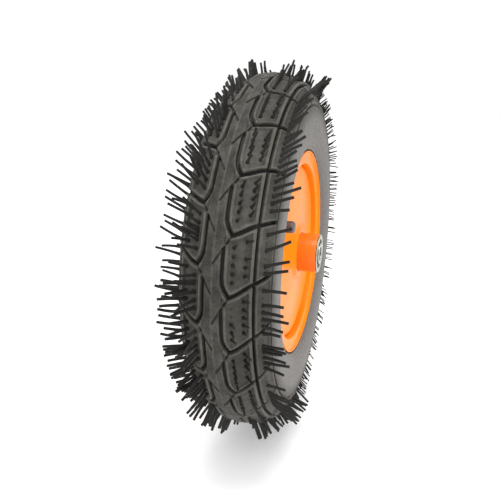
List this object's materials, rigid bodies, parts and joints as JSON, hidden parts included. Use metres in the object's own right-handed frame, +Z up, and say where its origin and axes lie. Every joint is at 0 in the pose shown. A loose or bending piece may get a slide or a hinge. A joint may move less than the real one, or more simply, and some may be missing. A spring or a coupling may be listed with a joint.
{
  "type": "pneumatic wheel",
  "caption": "Pneumatic utility wheel: block-tread rubber tyre with mould hairs on a pressed steel disc rim, turning on ball bearings in a hub tube.",
  "frame": {"origin": "middle of the wheel on the axle line, half way between the two bearings", "axes": "+Y along the axle towards the valve side, +Z up, +X forward"},
  "size_m": [0.415, 0.1186, 0.415],
  "materials": {
    "tyre_rubber": "matt moulded rubber",
    "tube_rubber": "satin rubber",
    "bead_steel": "brass-plated wire",
    "orange_paint": "gloss enamel",
    "zinc_plate": "zinc plated",
    "bearing_steel": "ground steel",
    "cage_nylon": "moulded",
    "brass": "turned",
    "cap_plastic": "moulded"
  },
  "bodies": {
    "hub_core": {"bearing_inner_ring_right": "bearing_steel", "bearing_inner_ring_left": "bearing_steel", "spacer_tube": "bearing_steel"},
    "wheel": {"tyre": "tyre_rubber", "inner_tube": "tube_rubber", "rim_barrel": "orange_paint", "hub_tube": "orange_paint", "valve_stem": "tube_rubber", "valve_core": "brass", "valve_spring": "bearing_steel", "tread_hairs_right": "tyre_rubber", "shoulder_hairs_right": "tyre_rubber", "bead_wire_right": "bead_steel", "disc_right": "orange_paint", "bearing_cup_right": "zinc_plate", "dust_shield_right": "zinc_plate", "tread_hairs_left": "tyre_rubber", "shoulder_hairs_left": "tyre_rubber", "bead_wire_left": "bead_steel", "disc_left": "orange_paint", "bearing_cup_left": "zinc_plate", "dust_shield_left": "zinc_plate"},
    "ball_set_right": {"ball_cage_right": "cage_nylon", "ball_right_1": "bearing_steel", "ball_right_2": "bearing_steel", "ball_right_3": "bearing_steel", "ball_right_4": "bearing_steel", "ball_right_5": "bearing_steel", "ball_right_6": "bearing_steel", "ball_right_7": "bearing_steel"},
    "ball_set_left": {"ball_cage_left": "cage_nylon", "ball_left_1": "bearing_steel", "ball_left_2": "bearing_steel", "ball_left_3": "bearing_steel", "ball_left_4": "bearing_steel", "ball_left_5": "bearing_steel", "ball_left_6": "bearing_steel", "ball_left_7": "bearing_steel"},
    "valve_pin": {"valve_pin": "brass"},
    "valve_cap": {"valve_cap": "cap_plastic"}
  },
  "joints": [
    {"name": "wheel_spin", "type": "hinge", "parent": "hub_core", "child": "wheel", "pos_m": [0, 0, 0], "axis": [0, 1, 0], "continuous": true},
    {"name": "ball_set_right_spin", "type": "hinge", "parent": "hub_core", "child": "ball_set_right", "pos_m": [0, 0.0495, 0], "axis": [0, 1, 0], "continuous": true},
    {"name": "ball_set_left_spin", "type": "hinge", "parent": "hub_core", "child": "ball_set_left", "pos_m": [0, -0.0495, 0], "axis": [0, 1, 0], "continuous": true},
    {"name": "valve_pin_press", "type": "slide", "parent": "wheel", "child": "valve_pin", "axis": [0, -1, 0], "range_m": [0, 0.001], "stiffness_N_per_m": 1500, "springref_m": -0.001},
    {"name": "valve_cap_off", "type": "slide", "parent": "wheel", "child": "valve_cap", "axis": [0, 1, 0], "range_m": [0, 0.02]}
  ],
  "couplings": [
    {"joint": "ball_set_right_spin", "follows": "wheel_spin", "ratio": 0.59549},
    {"joint": "ball_set_left_spin", "follows": "wheel_spin", "ratio": 0.59549}
  ]
}
